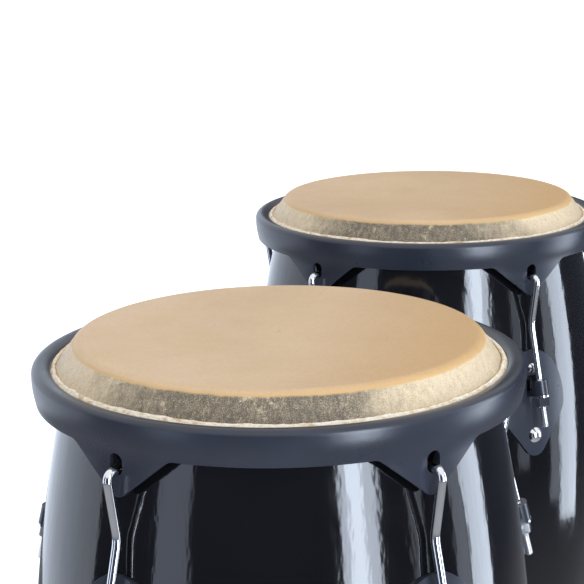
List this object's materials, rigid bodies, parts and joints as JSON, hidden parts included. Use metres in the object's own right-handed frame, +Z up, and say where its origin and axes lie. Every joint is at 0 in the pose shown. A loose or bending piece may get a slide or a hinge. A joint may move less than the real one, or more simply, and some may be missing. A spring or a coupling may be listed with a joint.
{
  "type": "set of barrel hand drums",
  "caption": "Tall barrel-shaped hand drums with tucked skin heads, rimmed tuning crowns, tension hooks, nuts and side plates, standing open-ended on rubber rings.",
  "frame": {"origin": "on the floor, at the bottom centre of the bounding box, 13 mm from the point midway between the two drum axes", "axes": "+Z up, +X from the first drum to the second, +Y to the left of +X"},
  "size_m": [0.9018, 0.3686, 0.716],
  "materials": {
    "shell_lacquer": "gloss black lacquer",
    "base_rubber": "matt",
    "drum_skin": "satin natural hide",
    "rim_coating": "satin black powder coat",
    "plate_coating": "satin black powder coat",
    "bright_chrome": "polished",
    "bare_steel": "zinc plated"
  },
  "bodies": {
    "drum_1_shell_assembly": {"drum_1_shell": "shell_lacquer", "drum_1_base_ring": "base_rubber", "drum_1_head_skin": "drum_skin", "drum_1_tuning_washers": "bright_chrome", "drum_1_plate_bolts": "bright_chrome", "drum_1_backing_washers": "bare_steel", "drum_1_backing_nuts": "bare_steel", "drum_1_side_plate_1": "plate_coating", "drum_1_side_plate_2": "plate_coating", "drum_1_side_plate_3": "plate_coating", "drum_1_side_plate_4": "plate_coating", "drum_1_side_plate_5": "plate_coating"},
    "drum_1_crown_assembly": {"drum_1_crown": "rim_coating", "drum_1_flesh_hoop": "bare_steel", "drum_1_skin_tuck": "drum_skin"},
    "drum_1_hook_1": {"drum_1_tension_hook_1": "bright_chrome"},
    "drum_1_nut_1": {"drum_1_tuning_nut_1": "bright_chrome"},
    "drum_1_hook_2": {"drum_1_tension_hook_2": "bright_chrome"},
    "drum_1_nut_2": {"drum_1_tuning_nut_2": "bright_chrome"},
    "drum_1_hook_3": {"drum_1_tension_hook_3": "bright_chrome"},
    "drum_1_nut_3": {"drum_1_tuning_nut_3": "bright_chrome"},
    "drum_1_hook_4": {"drum_1_tension_hook_4": "bright_chrome"},
    "drum_1_nut_4": {"drum_1_tuning_nut_4": "bright_chrome"},
    "drum_1_hook_5": {"drum_1_tension_hook_5": "bright_chrome"},
    "drum_1_nut_5": {"drum_1_tuning_nut_5": "bright_chrome"},
    "drum_2_shell_assembly": {"drum_2_shell": "shell_lacquer", "drum_2_base_ring": "base_rubber", "drum_2_head_skin": "drum_skin", "drum_2_tuning_washers": "bright_chrome", "drum_2_plate_bolts": "bright_chrome", "drum_2_backing_washers": "bare_steel", "drum_2_backing_nuts": "bare_steel", "drum_2_side_plate_1": "plate_coating", "drum_2_side_plate_2": "plate_coating", "drum_2_side_plate_3": "plate_coating", "drum_2_side_plate_4": "plate_coating", "drum_2_side_plate_5": "plate_coating"},
    "drum_2_crown_assembly": {"drum_2_crown": "rim_coating", "drum_2_flesh_hoop": "bare_steel", "drum_2_skin_tuck": "drum_skin"},
    "drum_2_hook_1": {"drum_2_tension_hook_1": "bright_chrome"},
    "drum_2_nut_1": {"drum_2_tuning_nut_1": "bright_chrome"},
    "drum_2_hook_2": {"drum_2_tension_hook_2": "bright_chrome"},
    "drum_2_nut_2": {"drum_2_tuning_nut_2": "bright_chrome"},
    "drum_2_hook_3": {"drum_2_tension_hook_3": "bright_chrome"},
    "drum_2_nut_3": {"drum_2_tuning_nut_3": "bright_chrome"},
    "drum_2_hook_4": {"drum_2_tension_hook_4": "bright_chrome"},
    "drum_2_nut_4": {"drum_2_tuning_nut_4": "bright_chrome"},
    "drum_2_hook_5": {"drum_2_tension_hook_5": "bright_chrome"},
    "drum_2_nut_5": {"drum_2_tuning_nut_5": "bright_chrome"}
  },
  "joints": [
    {"name": "drum_1_crown_travel", "type": "slide", "parent": "drum_1_shell_assembly", "child": "drum_1_crown_assembly", "axis": [0, 0, -1], "range_m": [-0.003, 0.006]},
    {"name": "drum_1_hook_travel_1", "type": "slide", "parent": "drum_1_shell_assembly", "child": "drum_1_hook_1", "axis": [0.2442, 0.0625, -0.9677], "range_m": [-0.0032, 0.0064]},
    {"name": "drum_1_nut_turn_1", "type": "hinge", "parent": "drum_1_shell_assembly", "child": "drum_1_nut_1", "pos_m": [-0.09631, 0.03369, 0.5585], "axis": [-0.2442, -0.0625, 0.9677], "range_deg": [-1119, 2235]},
    {"name": "drum_1_hook_travel_2", "type": "slide", "parent": "drum_1_shell_assembly", "child": "drum_1_hook_2", "axis": [0.016, 0.2515, -0.9677], "range_m": [-0.0032, 0.0064]},
    {"name": "drum_1_nut_turn_2", "type": "hinge", "parent": "drum_1_shell_assembly", "child": "drum_1_nut_2", "pos_m": [-0.26091, 0.17005, 0.5585], "axis": [-0.016, -0.2515, 0.9677], "range_deg": [-1119, 2235]},
    {"name": "drum_1_hook_travel_3", "type": "slide", "parent": "drum_1_shell_assembly", "child": "drum_1_hook_3", "axis": [-0.2343, 0.0929, -0.9677], "range_m": [-0.0032, 0.0064]},
    {"name": "drum_1_nut_turn_3", "type": "hinge", "parent": "drum_1_shell_assembly", "child": "drum_1_nut_3", "pos_m": [-0.44145, 0.05565, 0.5585], "axis": [0.2343, -0.0929, 0.9677], "range_deg": [-1119, 2235]},
    {"name": "drum_1_hook_travel_4", "type": "slide", "parent": "drum_1_shell_assembly", "child": "drum_1_hook_4", "axis": [-0.1608, -0.1941, -0.9677], "range_m": [-0.0032, 0.0064]},
    {"name": "drum_1_nut_turn_4", "type": "hinge", "parent": "drum_1_shell_assembly", "child": "drum_1_nut_4", "pos_m": [-0.38844, -0.15141, 0.5585], "axis": [0.1608, 0.1941, 0.9677], "range_deg": [-1119, 2235]},
    {"name": "drum_1_hook_travel_5", "type": "slide", "parent": "drum_1_shell_assembly", "child": "drum_1_hook_5", "axis": [0.1349, -0.2129, -0.9677], "range_m": [-0.0032, 0.0064]},
    {"name": "drum_1_nut_turn_5", "type": "hinge", "parent": "drum_1_shell_assembly", "child": "drum_1_nut_5", "pos_m": [-0.17514, -0.16498, 0.5585], "axis": [-0.1349, 0.2129, 0.9677], "range_deg": [-1119, 2235]},
    {"name": "drum_2_crown_travel", "type": "slide", "parent": "drum_2_shell_assembly", "child": "drum_2_crown_assembly", "axis": [0, 0, -1], "range_m": [-0.003, 0.006]},
    {"name": "drum_2_hook_travel_1", "type": "slide", "parent": "drum_2_shell_assembly", "child": "drum_2_hook_1", "axis": [0.2484, 0.0426, -0.9677], "range_m": [-0.0032, 0.0064]},
    {"name": "drum_2_nut_turn_1", "type": "hinge", "parent": "drum_2_shell_assembly", "child": "drum_2_nut_1", "pos_m": [0.44026, 0.0193, 0.5585], "axis": [-0.2484, -0.0426, 0.9677], "range_deg": [-1119, 2235]},
    {"name": "drum_2_hook_travel_2", "type": "slide", "parent": "drum_2_shell_assembly", "child": "drum_2_hook_2", "axis": [0.0363, 0.2494, -0.9677], "range_m": [-0.0032, 0.0064]},
    {"name": "drum_2_nut_turn_2", "type": "hinge", "parent": "drum_2_shell_assembly", "child": "drum_2_nut_2", "pos_m": [0.28723, 0.16852, 0.5585], "axis": [-0.0363, -0.2494, 0.9677], "range_deg": [-1119, 2235]},
    {"name": "drum_2_hook_travel_3", "type": "slide", "parent": "drum_2_shell_assembly", "child": "drum_2_hook_3", "axis": [-0.226, 0.1116, -0.9677], "range_m": [-0.0032, 0.0064]},
    {"name": "drum_2_nut_turn_3", "type": "hinge", "parent": "drum_2_shell_assembly", "child": "drum_2_nut_3", "pos_m": [0.09803, 0.0691, 0.5585], "axis": [0.226, -0.1116, 0.9677], "range_deg": [-1119, 2235]},
    {"name": "drum_2_hook_travel_4", "type": "slide", "parent": "drum_2_shell_assembly", "child": "drum_2_hook_4", "axis": [-0.176, -0.1804, -0.9677], "range_m": [-0.0032, 0.0064]},
    {"name": "drum_2_nut_turn_4", "type": "hinge", "parent": "drum_2_shell_assembly", "child": "drum_2_nut_4", "pos_m": [0.13411, -0.14157, 0.5585], "axis": [0.176, 0.1804, 0.9677], "range_deg": [-1119, 2235]},
    {"name": "drum_2_hook_travel_5", "type": "slide", "parent": "drum_2_shell_assembly", "child": "drum_2_hook_5", "axis": [0.1172, -0.2231, -0.9677], "range_m": [-0.0032, 0.0064]},
    {"name": "drum_2_nut_turn_5", "type": "hinge", "parent": "drum_2_shell_assembly", "child": "drum_2_nut_5", "pos_m": [0.34562, -0.17235, 0.5585], "axis": [-0.1172, 0.2231, 0.9677], "range_deg": [-1119, 2235]},
    {"name": "drum_2_place", "type": "slide", "parent": "drum_1_shell_assembly", "child": "drum_2_shell_assembly", "axis": [1, 0, 0], "range_m": [-0.1, 0.15]}
  ],
  "couplings": [
    {"joint": "drum_1_hook_travel_1", "follows": "drum_1_crown_travel", "ratio": 1.0334},
    {"joint": "drum_1_nut_turn_1", "follows": "drum_1_crown_travel", "rad_per_m": 6492.8},
    {"joint": "drum_1_hook_travel_2", "follows": "drum_1_crown_travel", "ratio": 1.0334},
    {"joint": "drum_1_nut_turn_2", "follows": "drum_1_crown_travel", "rad_per_m": 6492.8},
    {"joint": "drum_1_hook_travel_3", "follows": "drum_1_crown_travel", "ratio": 1.0334},
    {"joint": "drum_1_nut_turn_3", "follows": "drum_1_crown_travel", "rad_per_m": 6492.8},
    {"joint": "drum_1_hook_travel_4", "follows": "drum_1_crown_travel", "ratio": 1.0334},
    {"joint": "drum_1_nut_turn_4", "follows": "drum_1_crown_travel", "rad_per_m": 6492.8},
    {"joint": "drum_1_hook_travel_5", "follows": "drum_1_crown_travel", "ratio": 1.0334},
    {"joint": "drum_1_nut_turn_5", "follows": "drum_1_crown_travel", "rad_per_m": 6492.8},
    {"joint": "drum_2_hook_travel_1", "follows": "drum_2_crown_travel", "ratio": 1.0334},
    {"joint": "drum_2_nut_turn_1", "follows": "drum_2_crown_travel", "rad_per_m": 6492.8},
    {"joint": "drum_2_hook_travel_2", "follows": "drum_2_crown_travel", "ratio": 1.0334},
    {"joint": "drum_2_nut_turn_2", "follows": "drum_2_crown_travel", "rad_per_m": 6492.8},
    {"joint": "drum_2_hook_travel_3", "follows": "drum_2_crown_travel", "ratio": 1.0334},
    {"joint": "drum_2_nut_turn_3", "follows": "drum_2_crown_travel", "rad_per_m": 6492.8},
    {"joint": "drum_2_hook_travel_4", "follows": "drum_2_crown_travel", "ratio": 1.0334},
    {"joint": "drum_2_nut_turn_4", "follows": "drum_2_crown_travel", "rad_per_m": 6492.8},
    {"joint": "drum_2_hook_travel_5", "follows": "drum_2_crown_travel", "ratio": 1.0334},
    {"joint": "drum_2_nut_turn_5", "follows": "drum_2_crown_travel", "rad_per_m": 6492.8}
  ]
}
